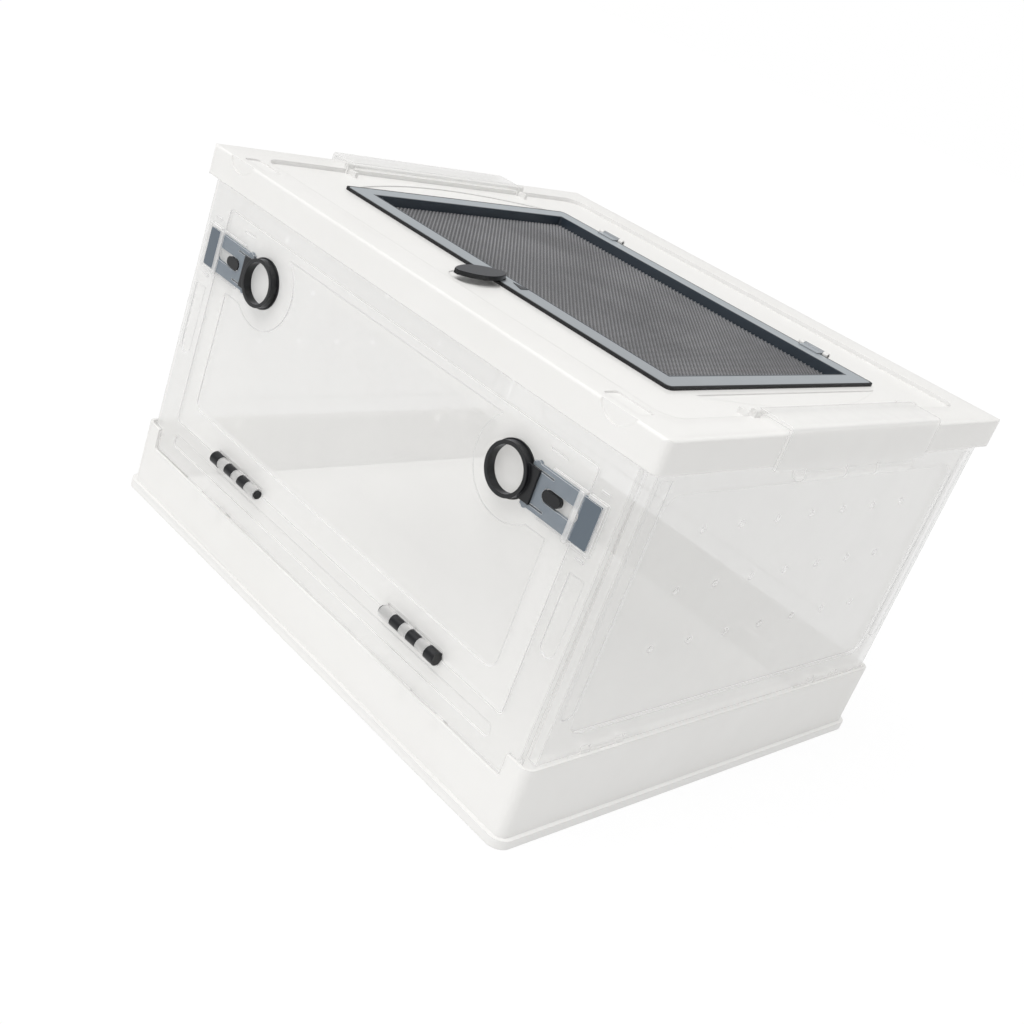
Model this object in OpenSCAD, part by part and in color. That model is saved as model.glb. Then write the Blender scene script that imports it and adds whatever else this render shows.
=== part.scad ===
// Folding keeper box for small pets, with a front door, a lift-off lid and a mesh window.
// Origin: centre of the underside of the base. X to the right, Y to the back, Z up. Millimetres.

/* [Box] */
// Width of the lid over its skirt
lid_w = 424; // [400:2:440]
// Depth of the lid over its skirt
lid_d = 376; // [356:2:396]
// Height of the box from the floor to the lid's rim
box_h = 262; // [252:1:263]
// Height of the lid's skirt
lid_skirt_h = 20; // [16:1:21]
// Thickness of the lid's skirt
lid_wall = 2.2; // [1.8:0.1:3]
// Thickness of the lid's rim and of its sunk panel
lid_plate_t = 2.3; // [1.8:0.1:2.6]
// Plan radius of the lid's corners
lid_corner_r = 5; // [4:1:12]
// Radius along the lid's upper edge
lid_edge_r = 2; // [1:0.5:4]
// Width of the lid's rim at both sides, outside its sunk middle
side_rim_w = 22; // [18:1:26]
// Width of the lid's rim at front and back
end_rim_w = 26; // [20:1:30]

/* [Base] */
// Height of the base tray at its sides and back
base_h = 54; // [50:1:58]
// Height of the front sill, between the corner posts
sill_h = 38; // [34:1:42]
// Width of the front corner posts, beside the sill
post_w = 17.5; // [14:0.5:24]
// Wall thickness of the base tray
base_wall = 2.2; // [1.8:0.1:2.6]
// Floor thickness of the base tray
base_floor = 3; // [2:0.5:4]
// How far the base stays inside the lid's outline at each side
base_inset = 2; // [0:0.5:2]
// How far the foot rim stands out past the base
foot_out = 3; // [1:0.5:4]
// Height of the foot rim
foot_h = 6; // [4:1:10]

/* [Folding walls] */
// Thickness of the front and back plates
plate_t = 2.3; // [1.8:0.1:2.4]
// How far the raised border stands out from a front or back plate
border_t = 2.7; // [2.5:0.1:2.7]
// Thickness of a side wall's pane
side_pane_t = 1.8; // [1.4:0.1:2.4]
// Corner radius of the wall windows
window_r = 12; // [6:1:20]
// Diameter of a vent hole
vent_d = 5; // [3:0.5:6]
// Vent holes in a row
vent_cols = 7; // [3:1:8]
// Rows of vent holes
vent_rows = 3; // [1:1:3]
// Diameter of the fold hinge pins
fold_pin_d = 3.5; // [3:0.5:4]
// Outer diameter of the fold hinge barrels
fold_barrel_d = 7; // [6:0.5:7]
// Length of a fold hinge barrel
fold_barrel_l = 24; // [16:1:30]

/* [Front door] */
// Distance from the lid's side to the door's edge
door_side_w = 35; // [32:1:42]
// Distance from the skirt down to the door's upper edge
door_drop = 14; // [12:1:20]
// Thickness of the door
door_t = 2.4; // [1.8:0.1:2.4]
// Height of the door hinge's axis
door_hinge_z = 70; // [66:1:74]
// Diameter of the door hinge pins
door_pin_d = 6; // [4:0.5:6]
// Outer diameter of the door hinge knuckles
door_knuckle_d = 8.4; // [7.5:0.1:8.6]

/* [Slide latches] */
// Distance from the door's upper edge down to the latches' centre line
latch_drop = 30; // [26:1:40]
// Distance from the door's edge to a latch ring's centre
ring_from_edge = 53; // [50:1:60]
// Outer diameter of the latch ring
ring_od = 32; // [28:1:34]
// Wall thickness of the latch ring
ring_wall = 2.4; // [1.8:0.1:5]
// How far the ring stands out from the door
ring_l = 6; // [5:0.1:10]
// Height of the latch plate
latch_h = 26.6; // [24:0.2:28]
// Thickness of the latch plate
latch_t = 2.2; // [1.6:0.1:2.4]
// How far the bolt reaches over the frame
bolt_reach = 13; // [8:0.5:13]

/* [Mesh window] */
// Distance from the lid's side to the mesh frame's opening
mesh_side_in = 73.5; // [72:0.5:100]
// Distance from the lid's front to the mesh frame's opening
mesh_front_in = 87; // [85:0.5:110]
// Distance from the lid's back to the mesh frame's opening
mesh_back_in = 95.5; // [90:0.5:120]
// Width of the mesh frame's flange at its sides
flange_w = 13; // [10:0.5:14]
// Width of the mesh frame's flange at front and back
flange_end_w = 15; // [14:0.5:18]
// Thickness of the flange
flange_t = 1.8; // [1.4:0.1:2]
// Depth of the mesh below the flange
mesh_depth = 6.6; // [4:0.1:8]

/* [Buckles] */
// Length of a side buckle
buckle_l = 172; // [140:1:180]
// Thickness of a buckle
buckle_t = 2.4; // [1.8:0.1:2.6]
// Gap between the lid's rim and a closed buckle
buckle_lift = 2.6; // [2.5:0.1:4]

/* [Hidden] */
$fn = 18;
arc_fn = 48;           // segments of the larger arcs
fit = 0.3;             // gap between pieces that move past each other
shaft_fit = 0.05;      // radial clearance of a pin in its bore
tiny = 0.01;

// Lid, from the outside in
lid_x = lid_w / 2;
lid_y = lid_d / 2;
skirt_in_x = lid_x - lid_wall;
skirt_in_y = lid_y - lid_wall;
sunk_depth = 3;        // how far the middle of the lid lies below its rim
sunk_half_w = lid_x - side_rim_w;
sunk_half_d = lid_y - end_rim_w;
sunk_r = 14;
thumb_half_l = 100;
thumb_w = 20;
thumb_edge = 11;
thumb_depth = 0.8;
panel_top = box_h - sunk_depth;
panel_bottom = panel_top - lid_plate_t;
rim_bottom = box_h - lid_plate_t;
seat_h = 2.9;          // ribs under the rim that stand on the walls
seat_z = rim_bottom - seat_h;
skirt_bottom = box_h - lid_skirt_h;
wall_top = seat_z - fit;

// Base tray
base_x = lid_x - base_inset;
base_y = lid_y;
base_in_x = base_x - base_wall;
base_in_y = base_y - base_wall;
base_r = 7;
sill_half_w = base_x - post_w;
under_depth = 1;       // the floor's underside between the foot rim and the cross rib
under_rim = 14;

// Fold hinges: pins lie along the foot of each wall, at three heights so that the walls stack
barrel_r = fold_barrel_d / 2;
side_axis_x = base_in_x - barrel_r - fit;
cross_axis_y = base_in_y - barrel_r - fit;
side_axis_z = base_h + 1;
front_axis_z = sill_h - 4;
back_axis_z = 22;
side_hinge_y = 122;
cross_hinge_x = 120;
fold_lug_l = 7;
fold_lug_drop = 9;
lug_play = 0.7;        // round the lugs, in the notches of the side walls
fold_pin_l = fold_barrel_l + 2 * (fit + fold_lug_l);

// Walls: the faces that the folding depends on
wall_play = 2.7;       // from the lid's skirt to the walls inside it
side_out = skirt_in_x - wall_play;
side_in = side_axis_x - barrel_r;      // flush with the barrels
side_border_t = side_out - side_in;
side_pane_sunk = 2.2;  // from a side wall's outer face to its pane
side_bottom = base_h + 0.7;
plate_out = skirt_in_y - wall_play;
plate_in = plate_out - plate_t;
side_end_play = 1.9;   // a side wall folds down past the hinges of the front and back walls
side_half_d = plate_in - side_end_play;
border_out = plate_out + border_t;
border_top = skirt_bottom - 0.5;
cross_half_w = side_in - fit;          // cross walls pass between the side walls

// Windows in the walls
side_win_half = side_half_d - 17;
back_win_half = cross_half_w - 38;
win_bottom = 71;
win_top = skirt_bottom - 16;
flute_w = 11;
flute_in = 4;
flute_bottom = 84;
flute_depth = 0.6;
stile_flute_bottom = 118;
vent_pitch_y = 37.3;
vent_pitch_z = 40;
vent_top_z = win_top - 25.5;

// Front frame and door
door_half_w = lid_x - door_side_w;
door_top = skirt_bottom - door_drop;
front_open_half = door_half_w - 16;
front_open_bottom = 88;
front_open_top = door_top - 14;
front_open_r = 8;
door_gap = 0.5;
door_face = border_out;
door_back = door_face - door_t;
door_bottom = door_hinge_z;
swing_room = 4.7;      // from the hinge axis to the door's back
door_axis_y = door_back + swing_room;
knuckle_r = door_knuckle_d / 2;
pane_depth = 0.8;
pane_top = door_top - 6;
pad_r = 31;
pad_half_h = 23;

// Door hinge, outwards from its inner end: knuckle, spacer, door knuckle, spacer, knuckle, pin head
hinge_start = 70.5;
frame_knuckle_l = 10;
spacer_l = 9;
door_knuckle_l = 6.5;
outer_knuckle_l = 8;
pin_head_l = 8.5;
pin_head_d = 9;
spacer_d = 7.8;
axial_gap = 0.25;
k_spacer_in = hinge_start + frame_knuckle_l + axial_gap;
k_door = k_spacer_in + spacer_l + axial_gap;
k_spacer_out = k_door + door_knuckle_l + axial_gap;
k_outer = k_spacer_out + spacer_l + axial_gap;
k_head = k_outer + outer_knuckle_l;
k_end = k_head + pin_head_l;
notch_play = 0.5;      // between the pin's widest parts and the notches round them
rail_notch_z = door_hinge_z - pin_head_d / 2 - notch_play;
door_notch_z = door_hinge_z + pin_head_d / 2 + notch_play;

// Slide latches
latch_z = door_top - latch_drop;
ring_x = door_half_w - ring_from_edge;
ring_id = ring_od - 2 * ring_wall;
latch_back = door_face + fit;
latch_front = latch_back + latch_t;
latch_in = ring_x + ring_od / 2 - 2;
latch_out = door_half_w + bolt_reach;
latch_r = 1.5;
latch_travel = bolt_reach;
slot_in = latch_in + 12.5;
slot_h = 8.6;
guide_l = 13.5;
guide_h = 6.6;
slot_out = slot_in + guide_l + latch_travel + 2 * fit;
arm_w = 2.6;
arm_slit = 1.2;
arm_l = 17;
bump_r = 2.2;
strap_w = 3.4;
strap_t = 1.4;
rail_w = 1.6;
rail_gap = 0.4;
keeper_w = 2;
ring_tab_l = 7;
ring_tab_h = 21;
ring_tab_t = 1.6;
ring_collar_t = 1;     // step round the ring's foot
ring_collar_w = 1;
tick_l = 6;            // marks on the stile that show how far the bolt goes
tick_w = 1.2;

// Mesh window: opening, frame, seal and hinge
mesh_half_w = lid_x - mesh_side_in;
mesh_front = mesh_front_in - lid_y;
mesh_back = lid_y - mesh_back_in;
mesh_wall = 1.8;
mesh_ledge = 3;
mesh_t = 0.6;
screen_cols = 10;      // the weave is drawn as a coarse grid
screen_rows = 7;
screen_bar = 2.2;
seal_t = 1.7;
seal_h = 1.9;
flange_lift = 0.2;
flange_bottom = panel_top + flange_lift;
flange_top = flange_bottom + flange_t;
mesh_top = flange_top - mesh_depth;
mesh_foot = mesh_top - mesh_t - 1.4;
flange_front = mesh_front - flange_end_w;
flange_back = mesh_back + flange_end_w;
lid_open_gap = 1.2;
mesh_hinge_d = 4;
mesh_pin_d = 2;
mesh_hinge_y = flange_back + seal_t + mesh_hinge_d / 2 + 0.6;
mesh_hinge_z = panel_top + mesh_hinge_d / 2 + fit;
mesh_hinge_x = 100;
mesh_knuckle_l = 16;
mesh_lug_l = 4;

// Turn latch on the mesh frame
turn_x = 3;            // the button sits a little to the right of the middle
turn_y = flange_front + 4.5;
turn_stem_d = 6;
turn_foot_l = 12;
turn_foot_w = 6;
turn_foot_t = 2;
turn_leaf_l = 46;
turn_leaf_w = 18;
turn_leaf_t = 3;
turn_hub_d = 8;
turn_tail = 5;         // how far the leaf reaches past its stem
turn_lift = 1;
finger_dip_w = 26;     // pocket in the lid under the leaf's tip
finger_dip_d = 34;

// Buckles
buckle_axis_z = box_h + buckle_lift;
buckle_barrel_r = 2.2;
buckle_axis_x = sunk_half_w + 0.5;
buckle_mid_y = 3;      // the buckles' middle lies behind the lid's
buckle_pin_d = 2.4;
buckle_pin_l = 16;
buckle_lug_l = 5.5;
lug_fin_l = 8;         // fins that brace the buckle lugs
lug_fin_t = 2.4;
lug_fin_h = 0.8;
buckle_leg_in = lid_x + 0.4;
buckle_leg_out = buckle_leg_in + buckle_t;
buckle_leg_end = skirt_bottom - 2;
bead_r = 4.4;
bead_x = side_out + fit + bead_r;
bead_z = skirt_bottom - 2.6 - bead_r;
bead_mid_y = 10;       // the bead's middle lies behind the buckle's
bead_split = 18;
bead_gap = 2;
bead_end = 64;

clear_pp = [0.93, 0.94, 0.94, 0.55];
milky_pp = [0.95, 0.95, 0.94];
smoke_pc = [0.55, 0.6, 0.65];
black_abs = [0.12, 0.12, 0.14];

// ---------- outlines and general shapes ----------

// Rectangle with round corners, centred
module rounded_rect(w, d, r) {
    square([w - 2 * r, d], center = true);
    square([w, d - 2 * r], center = true);
    for (sx = [-1, 1], sy = [-1, 1]) {
        translate([sx * (w / 2 - r), sy * (d / 2 - r)]) circle(r);
    }
}

// Rectangle with round corners, from its low edge to its high edge
module rounded_span(half_w, low, high, r) {
    translate([0, (low + high) / 2]) rounded_rect(2 * half_w, high - low, r);
}

// Slot with round ends between two stations
module slot_outline(from_x, to_x, h) {
    translate([(from_x + to_x) / 2, 0]) square([to_x - from_x - h, h], center = true);
    for (x = [from_x + h / 2, to_x - h / 2]) {
        translate([x, 0]) circle(h / 2);
    }
}

// Extrudes an outline drawn in X and Z, from y_near towards +Y
module along_y(y_near, t) {
    translate([0, y_near + t, 0]) rotate([90, 0, 0]) linear_extrude(t) children();
}

// Extrudes an outline drawn in Y and Z, from x_near towards +X
module along_x(x_near, t) {
    translate([x_near, 0, 0]) rotate([90, 0, 90]) linear_extrude(t) children();
}

// Round bar along X between two stations
module bar_x(from_x, to_x, d) {
    translate([from_x, 0, 0]) rotate([0, 90, 0]) cylinder(h = to_x - from_x, d = d);
}

// Round bar along Y, centred
module bar_y(l, d) {
    rotate([90, 0, 0]) cylinder(h = l, d = d, center = true);
}

// Cuts what stands inside the lid to the skirt's inner outline, with its round corners
module within_skirt() {
    intersection() {
        children();
        translate([0, 0, -tiny]) linear_extrude(box_h)
            rounded_rect(2 * (skirt_in_x - fit), 2 * (skirt_in_y - fit), lid_corner_r - lid_wall - fit);
    }
}

// Both sides of the box
module mirrored_x() {
    children();
    mirror([1, 0, 0]) children();
}

// Cross-section with its two upper corners rounded
module crowned(w, h, r) {
    translate([-w / 2, 0]) square([w, h - r]);
    translate([-w / 2 + r, 0]) square([w - 2 * r, h]);
    for (s = [-1, 1]) {
        translate([s * (w / 2 - r), h - r]) circle(r);
    }
}

// Box with round plan corners and a rounded upper edge
module crowned_box(w, d, h, plan_r, edge_r) {
    intersection() {
        linear_extrude(h) rounded_rect(w, d, plan_r);
        along_y(-d / 2 - 1, d + 2) crowned(w, h, edge_r);
        along_x(-w / 2 - 1, w + 2) crowned(d, h, edge_r);
    }
}

// ---------- fold hinges ----------

// Places a hinge part, whose axis is X and whose tray wall is towards -Y, at all pins of one wall
module at_hinges(turn, axis_y, axis_z, spread) {
    rotate([0, 0, turn]) for (s = [-1, 1]) {
        translate([s * spread, -axis_y, axis_z]) children();
    }
}

// Two lugs that reach from the tray wall to the pin
module fold_lugs() {
    for (s = [-1, 1]) {
        difference() {
            union() {
                translate([s * (fold_pin_l - fold_lug_l) / 2, 0, 0]) {
                    bar_x(-fold_lug_l / 2, fold_lug_l / 2, fold_barrel_d);
                    translate([-fold_lug_l / 2, -barrel_r - fit - tiny, -fold_lug_drop])
                        cube([fold_lug_l, fold_barrel_d + fit + tiny, fold_lug_drop]);
                    translate([-fold_lug_l / 2, -barrel_r - fit - tiny, -tiny])
                        cube([fold_lug_l, barrel_r + fit, barrel_r / 2]);
                }
            }
            bar_x(-fold_pin_l, fold_pin_l, fold_pin_d + 2 * shaft_fit);
        }
    }
}

// Bore through a wall's barrel
module fold_bore() {
    bar_x(-fold_pin_l, fold_pin_l, fold_pin_d + 2 * shaft_fit);
}

module fold_barrel() {
    bar_x(-fold_barrel_l / 2, fold_barrel_l / 2, fold_barrel_d);
}

// ---------- base ----------

module base_tray() {
    color(milky_pp) difference() {
        union() {
            difference() {
                union() {
                    linear_extrude(base_h) rounded_rect(2 * base_x, 2 * base_y, base_r);
                    linear_extrude(foot_h)
                        rounded_rect(2 * (base_x + foot_out), 2 * (base_y + foot_out), base_r + foot_out);
                }
                translate([0, 0, base_floor]) linear_extrude(base_h)
                    rounded_rect(2 * base_in_x, 2 * base_in_y, base_r - base_wall);
                sill_cut();
            }
            at_hinges(0, cross_axis_y, front_axis_z, cross_hinge_x) fold_lugs();
            at_hinges(180, cross_axis_y, back_axis_z, cross_hinge_x) fold_lugs();
            at_hinges(90, side_axis_x, side_axis_z, side_hinge_y) fold_lugs();
            at_hinges(-90, side_axis_x, side_axis_z, side_hinge_y) fold_lugs();
        }
        underside_pockets();
    }
}

// Front wall cut down to the sill between the corner posts
module sill_cut() {
    along_y(-base_y - 1, base_wall + 2) {
        rounded_span(sill_half_w, sill_h, 2 * base_h, 3);
    }
}

// Shallow pockets that leave a foot rim and a cross rib to stand on
module underside_pockets() {
    pocket_w = base_x - 1.5 * under_rim;
    pocket_d = base_y - 1.5 * under_rim;
    for (sx = [-1, 1], sy = [-1, 1]) {
        translate([sx * (base_x - under_rim / 2) / 2, sy * (base_y - under_rim / 2) / 2, -tiny])
            linear_extrude(under_depth) rounded_rect(pocket_w, pocket_d, base_r);
    }
}

module wall_hinge_pins() {
    color(milky_pp) {
        at_hinges(0, cross_axis_y, front_axis_z, cross_hinge_x) bar_x(-fold_pin_l / 2, fold_pin_l / 2, fold_pin_d);
        at_hinges(180, cross_axis_y, back_axis_z, cross_hinge_x) bar_x(-fold_pin_l / 2, fold_pin_l / 2, fold_pin_d);
        at_hinges(90, side_axis_x, side_axis_z, side_hinge_y) bar_x(-fold_pin_l / 2, fold_pin_l / 2, fold_pin_d);
        at_hinges(-90, side_axis_x, side_axis_z, side_hinge_y) bar_x(-fold_pin_l / 2, fold_pin_l / 2, fold_pin_d);
    }
}

// ---------- side walls ----------

// Right wall: a pane in a thicker border, with vent holes and corner flutes
module side_wall() {
    difference() {
        union() {
            difference() {
                within_skirt() along_x(side_in, side_border_t) side_outline();
                along_x(side_out - side_pane_sunk, side_border_t) side_window();
                along_x(side_in - side_pane_sunk - side_pane_t, side_border_t) side_window();
                corner_flutes();
                vents();
            }
            at_hinges(90, side_axis_x, side_axis_z, side_hinge_y) fold_barrel();
        }
        at_hinges(90, side_axis_x, side_axis_z, side_hinge_y) fold_bore();
    }
}

module side_window() {
    rounded_span(side_win_half, win_bottom, win_top, window_r);
}

// Outline in Y and Z, notched for the lugs and carried down to the barrels
module side_outline() {
    difference() {
        translate([-side_half_d, side_bottom]) square([2 * side_half_d, wall_top - side_bottom]);
        for (s = [-1, 1], e = [-1, 1]) {
            translate([s * side_hinge_y + e * (fold_pin_l - fold_lug_l) / 2, side_axis_z])
                square([fold_lug_l + 2 * lug_play, 2 * (barrel_r + lug_play)], center = true);
        }
    }
}

// Shallow flutes beside the corners, round at their lower ends
module corner_flutes() {
    for (s = [-1, 1]) {
        translate([0, s * (side_half_d - flute_in - flute_w / 2), 0]) along_x(side_out - flute_depth, 1) {
            translate([-flute_w / 2, flute_bottom + flute_w / 2])
                square([flute_w, border_top - 6 - flute_bottom - flute_w / 2]);
            translate([0, flute_bottom + flute_w / 2]) circle(flute_w / 2);
        }
    }
}

module vents() {
    for (i = [0 : vent_cols - 1], j = [0 : vent_rows - 1]) {
        translate([side_in - 1, (i - (vent_cols - 1) / 2) * vent_pitch_y, vent_top_z - j * vent_pitch_z])
            rotate([0, 90, 0]) cylinder(h = side_border_t + 2, d = vent_d);
    }
}

module right_wall() {
    color(clear_pp) side_wall();
}

module left_wall() {
    color(clear_pp) mirror([1, 0, 0]) side_wall();
}

// ---------- front and back walls ----------

// Outline in X and Z of a wall that passes between the side walls
module cross_outline(low) {
    translate([-cross_half_w, low]) square([2 * cross_half_w, wall_top - low]);
}

// Webs that carry a plate down to its barrels
module barrel_webs(low, axis_z) {
    for (s = [-1, 1]) {
        translate([s * cross_hinge_x - fold_barrel_l / 2, axis_z]) square([fold_barrel_l, low - axis_z + 1]);
    }
}

module back_wall() {
    low = back_axis_z + barrel_r + 1;
    color(clear_pp) difference() {
        union() {
            within_skirt() along_y(plate_in, plate_t) {
                cross_outline(low);
                barrel_webs(low, back_axis_z);
            }
            along_y(plate_out - tiny, border_t + tiny) intersection() {
                difference() {
                    cross_outline(low);
                    rounded_span(back_win_half, win_bottom, win_top, window_r);
                }
                rounded_span(cross_half_w, base_h + 0.5, border_top, 2);
            }
            at_hinges(180, cross_axis_y, back_axis_z, cross_hinge_x) fold_barrel();
        }
        at_hinges(180, cross_axis_y, back_axis_z, cross_hinge_x) fold_bore();
    }
}

module front_frame() {
    low = front_axis_z + barrel_r + 1;
    color(clear_pp) difference() {
        union() {
            within_skirt() along_y(-plate_out, plate_t) difference() {
                union() {
                    cross_outline(low);
                    barrel_webs(low, front_axis_z);
                }
                rounded_span(front_open_half, front_open_bottom, front_open_top, front_open_r);
            }
            along_y(-border_out, border_t + tiny) difference() {
                intersection() {
                    cross_outline(sill_h + 1);
                    union() {
                        rounded_span(cross_half_w, base_h + 0.5, border_top, 2);
                        rounded_span(sill_half_w - door_gap, sill_h + 1, base_h + 4, 2);
                    }
                }
                rounded_span(door_half_w + door_gap, door_bottom - door_gap, door_top + door_gap, 3);
                mirrored_x() rail_notches();
            }
            mirrored_x() frame_knuckles();
            mirrored_x() {
                keeper();
                bolt_ticks();
            }
            at_hinges(0, cross_axis_y, front_axis_z, cross_hinge_x) fold_barrel();
        }
        at_hinges(0, cross_axis_y, front_axis_z, cross_hinge_x) fold_bore();
        mirrored_x() door_bore();
        sill_groove();
        stile_flutes();
    }
}

// Room in the raised rail for the spacers, the door's knuckle and the pin head
module rail_notches() {
    translate([k_spacer_in - axial_gap, rail_notch_z])
        square([k_outer - k_spacer_in + axial_gap, door_bottom - rail_notch_z]);
    translate([k_head, rail_notch_z]) square([pin_head_l + 0.6, door_bottom - rail_notch_z]);
}

module frame_knuckles() {
    translate([0, -door_axis_y, door_hinge_z]) {
        bar_x(hinge_start, hinge_start + frame_knuckle_l, door_knuckle_d);
        bar_x(k_outer, k_outer + outer_knuckle_l, door_knuckle_d);
    }
}

module door_bore() {
    translate([0, -door_axis_y, door_hinge_z]) bar_x(hinge_start - 3, k_end + 2, door_pin_d + 2 * shaft_fit);
}

// Long groove along the front rail
module sill_groove() {
    groove_low = sill_h + 13;
    groove_high = door_hinge_z - 10;
    along_y(-border_out - 1, 2) rounded_span(door_half_w - 3, groove_low, groove_high, 3);
}

// Shallow flutes down both stiles, below the keepers
module stile_flutes() {
    mid = (door_half_w + cross_half_w) / 2 + 1;
    low = stile_flute_bottom + flute_w / 2;
    mirrored_x() along_y(-border_out - 1, 1 + flute_depth) translate([mid, 0]) {
        translate([-flute_w / 2, low]) square([flute_w, latch_z - latch_h / 2 - 16 - low]);
        translate([0, low]) circle(flute_w / 2);
    }
}

// Open-fronted keeper: the bolt slides between two ribs up to an end rib
module keeper() {
    from_x = door_half_w + 2 * door_gap + 1;
    rib_z = latch_h / 2 + rail_gap;
    translate([0, 0, latch_z]) along_y(-latch_front, latch_front - border_out + tiny) {
        for (s = [0, 1]) {
            mirror([0, s]) translate([from_x, rib_z]) square([latch_out + fit + keeper_w - from_x, keeper_w]);
        }
        translate([latch_out + fit, -rib_z - tiny]) square([keeper_w, 2 * rib_z + 2 * tiny]);
    }
}

// Raised marks above and below the keeper
module bolt_ticks() {
    for (s = [-1, 1]) {
        translate([latch_out - tick_l, -border_out - flute_depth, latch_z + s * (latch_h / 2 + 7) - tick_w / 2])
            cube([tick_l, flute_depth + tiny, tick_w]);
    }
}

// ---------- door ----------

module front_door() {
    color(clear_pp) difference() {
        union() {
            along_y(-door_face, door_t) difference() {
                rounded_span(door_half_w, door_bottom, door_top, 3);
                mirrored_x() door_notches();
            }
            mirrored_x() {
                translate([0, -door_axis_y, door_hinge_z]) bar_x(k_door, k_door + door_knuckle_l, door_knuckle_d);
                latch_rails();
                latch_strap();
            }
        }
        mirrored_x() door_bore();
        along_y(-door_face - 1, 1 + pane_depth) difference() {
            rounded_span(front_open_half, front_open_bottom, pane_top, front_open_r);
            mirrored_x() latch_pad();
        }
    }
}

// Room in the door's lower edge for everything on the pin that the door doesn't carry
module door_notches() {
    translate([hinge_start - 0.5, door_bottom - 1]) square([k_door - hinge_start + 0.5, door_notch_z - door_bottom + 1]);
    translate([k_door + door_knuckle_l, door_bottom - 1])
        square([k_end + 0.6 - k_door - door_knuckle_l, door_notch_z - door_bottom + 1]);
}

// Flat pad round the latch, left at the door's full thickness
module latch_pad() {
    translate([ring_x, latch_z]) circle(pad_r, $fn = arc_fn);
    translate([ring_x, latch_z - pad_half_h]) square([door_half_w - ring_x, 2 * pad_half_h]);
}

// Rails above and below the latch plate
module latch_rails() {
    from_x = latch_in + arm_l - 4;
    translate([0, 0, latch_z]) along_y(-latch_back - 1, latch_back + 1 - door_face + tiny) {
        for (s = [0, 1]) {
            mirror([0, s]) translate([from_x, latch_h / 2 + rail_gap]) square([door_half_w - from_x, rail_w]);
        }
    }
}

// Strap over the latch plate at the door's edge
module latch_strap() {
    half_h = latch_h / 2 + rail_gap + rail_w;
    y_out = latch_front + fit + strap_t;
    translate([door_half_w - strap_w, 0, latch_z]) {
        along_y(-y_out, strap_t) translate([0, -half_h]) square([strap_w, 2 * half_h]);
        for (s = [-1, 1]) {
            translate([0, -y_out, s * (half_h - rail_w / 2) - rail_w / 2])
                cube([strap_w, y_out - door_face + tiny, rail_w]);
        }
    }
}

module door_hinge_pins() {
    color(black_abs) mirrored_x() translate([0, -door_axis_y, door_hinge_z]) {
        bar_x(hinge_start - 1.5, k_head + tiny, door_pin_d);
        bar_x(k_head + axial_gap, k_end, pin_head_d);
        bar_x(k_head, k_end, door_pin_d);
    }
}

module door_hinge_spacers() {
    color(black_abs) mirrored_x() translate([0, -door_axis_y, door_hinge_z]) {
        for (x = [k_spacer_in, k_spacer_out]) {
            difference() {
                bar_x(x, x + spacer_l, spacer_d);
                bar_x(x - 1, x + spacer_l + 1, door_pin_d + 2 * shaft_fit);
            }
        }
    }
}

// ---------- slide latches ----------

// Outline of the right plate about the latch's centre line: bolt, slot, and two spring arms
module latch_outline() {
    slit_z = latch_h / 2 - arm_w - arm_slit;
    difference() {
        union() {
            translate([latch_in, -latch_h / 2]) square([latch_out - latch_r - latch_in, latch_h]);
            translate([latch_in, -latch_h / 2 + latch_r]) square([latch_out - latch_in, latch_h - 2 * latch_r]);
            for (s = [-1, 1]) {
                translate([latch_out - latch_r, s * (latch_h / 2 - latch_r)]) circle(latch_r);
                translate([latch_in + bump_r + 1, s * (latch_h / 2 - 1)]) circle(bump_r);
            }
        }
        translate([ring_x, 0]) circle(ring_od / 2 + ring_collar_w + fit, $fn = arc_fn);
        slot_outline(slot_in, slot_out, slot_h);
        for (s = [0, 1]) {
            mirror([0, s]) translate([latch_in - 1, slit_z]) square([arm_l + 1, arm_slit]);
        }
    }
}

module latch_plate() {
    translate([0, 0, latch_z]) along_y(-latch_front, latch_t) latch_outline();
}

// Finger ring with the tab that sits on the plate
module latch_ring() {
    ring_front = latch_back + ring_l;
    translate([0, 0, latch_z]) difference() {
        union() {
            along_y(-ring_front, ring_l) translate([ring_x, 0]) circle(ring_od / 2, $fn = arc_fn);
            along_y(-latch_front - ring_tab_t, ring_tab_t) {
                translate([ring_x, -ring_tab_h / 2]) square([latch_in + ring_tab_l - ring_x, ring_tab_h]);
            }
            along_y(-latch_back - ring_collar_t, ring_collar_t) {
                translate([ring_x, 0]) circle(ring_od / 2 + ring_collar_w, $fn = arc_fn);
            }
        }
        translate([ring_x, 0, 0]) rotate([90, 0, 0]) cylinder(h = 3 * ring_front, d = ring_id, center = true, $fn = arc_fn);
    }
}

module right_latch_plate() {
    color(smoke_pc) latch_plate();
}

module left_latch_plate() {
    color(smoke_pc) mirror([1, 0, 0]) latch_plate();
}

module right_latch_ring() {
    color(black_abs) latch_ring();
}

module left_latch_ring() {
    color(black_abs) mirror([1, 0, 0]) latch_ring();
}

// Posts on the door that guide the plates and stop them at both ends
module latch_guide_posts() {
    color(black_abs) mirrored_x() translate([0, 0, latch_z])
        along_y(-latch_front - 0.6, latch_front + 0.6 - door_face)
            slot_outline(slot_in + fit, slot_in + fit + guide_l, guide_h);
}

// ---------- lid ----------

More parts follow.
